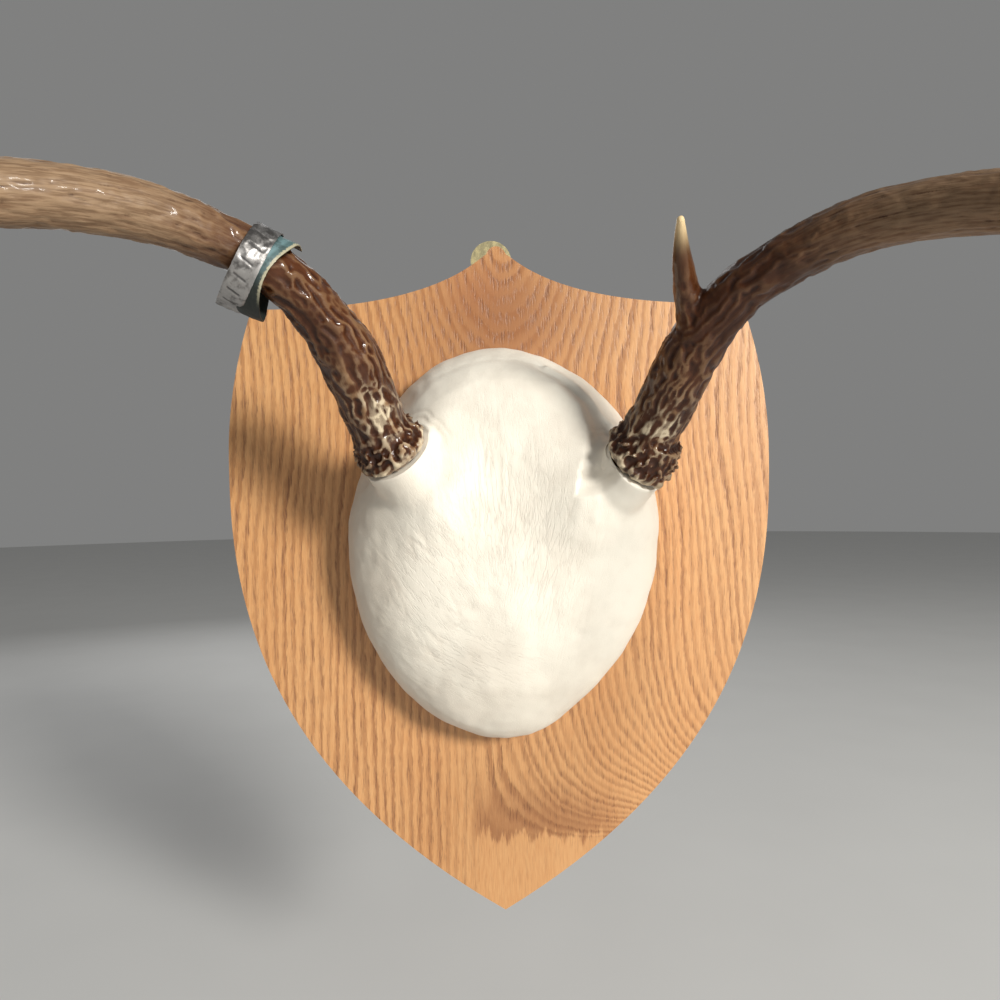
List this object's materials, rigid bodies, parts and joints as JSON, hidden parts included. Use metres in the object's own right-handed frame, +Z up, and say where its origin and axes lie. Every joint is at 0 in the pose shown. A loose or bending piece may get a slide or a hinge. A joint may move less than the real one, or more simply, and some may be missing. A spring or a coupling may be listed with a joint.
{
  "type": "antler mounting plaque",
  "caption": "Shield-shaped wooden wall plaque with a domed leather-covered skull cap, a pair of antlers, a wrapped metal tag on one beam and a keyhole hanger plate behind.",
  "frame": {"origin": "on the shield's flat back face, on its centre line, at the height where the shield is widest", "axes": "+Y into the wall, +Z up towards the shield's apex, +X to the viewer's right"},
  "size_m": [0.3718, 0.2633, 0.2897],
  "materials": {
    "oak": "oiled red oak, satin",
    "brass": "plain stamped brass",
    "leather": "white tawed leather, matt",
    "antler": "dark stained antler under gloss lacquer",
    "tag_metal": "worn strip metal with a teal patina on its inner turn"
  },
  "bodies": {
    "root": {"shield_plaque": "oak", "hanger_plate": "brass", "hanger_screw_1": "brass", "hanger_screw_2": "brass", "leather_skull_cap": "leather", "antler_left": "antler", "antler_right": "antler", "tag_band": "tag_metal"}
  },
  "joints": []
}
